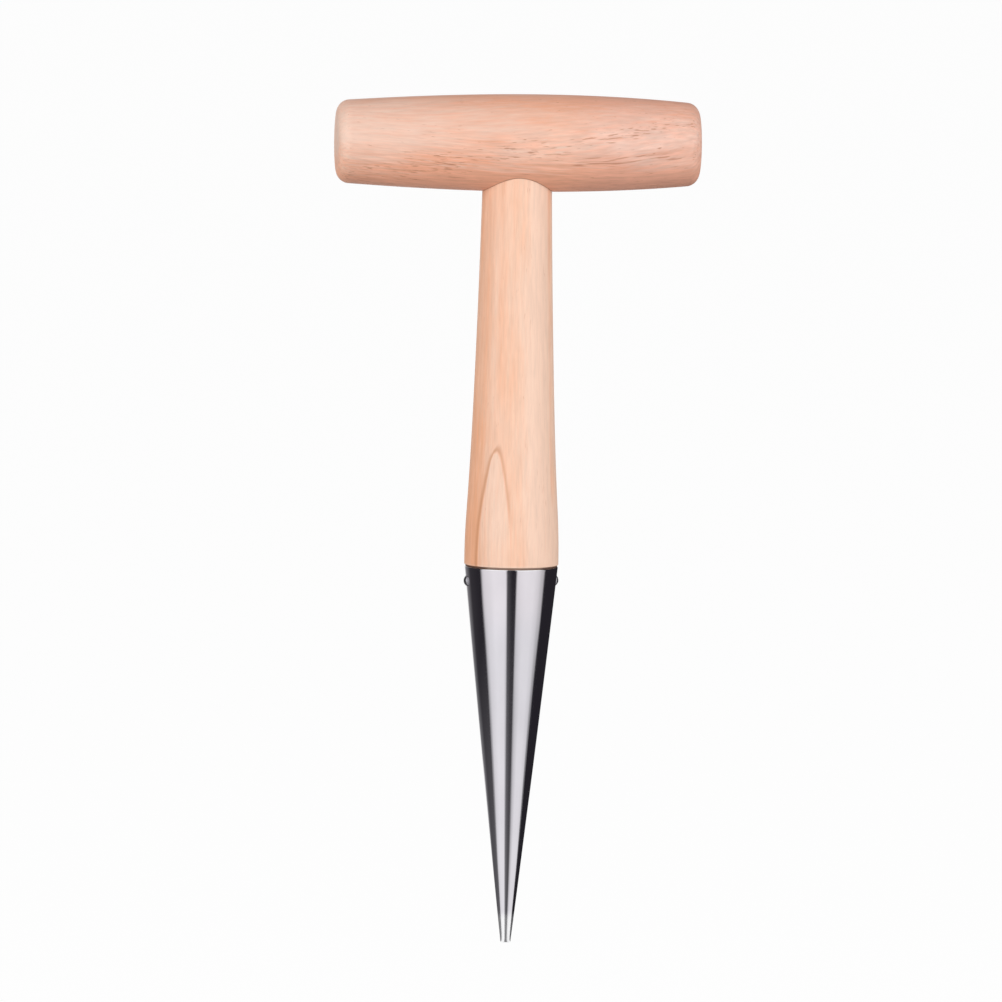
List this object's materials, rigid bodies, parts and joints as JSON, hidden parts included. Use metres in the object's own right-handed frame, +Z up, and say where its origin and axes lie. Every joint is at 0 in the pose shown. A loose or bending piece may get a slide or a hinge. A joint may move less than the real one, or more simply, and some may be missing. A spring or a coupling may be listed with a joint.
{
  "type": "dibber",
  "caption": "Hand dibber with a turned wooden T handle and a hollow polished steel cone, for pressing planting holes for seeds and bulbs.",
  "frame": {"origin": "middle of the blunt tip of the cone", "axes": "+Z up the stem towards the handle, X along the crossbar, -Y towards the viewer of the picture"},
  "size_m": [0.1194, 0.032, 0.28],
  "materials": {
    "grip_wood": "sanded, thin satin oil",
    "stem_wood": "sanded, thin satin oil",
    "cone_steel": "polished stainless steel",
    "pin_steel": "bright drawn steel"
  },
  "bodies": {
    "root": {"crossbar_grip": "grip_wood", "stem": "stem_wood", "steel_cone": "cone_steel", "left_pin": "pin_steel", "right_pin": "pin_steel"}
  },
  "joints": []
}
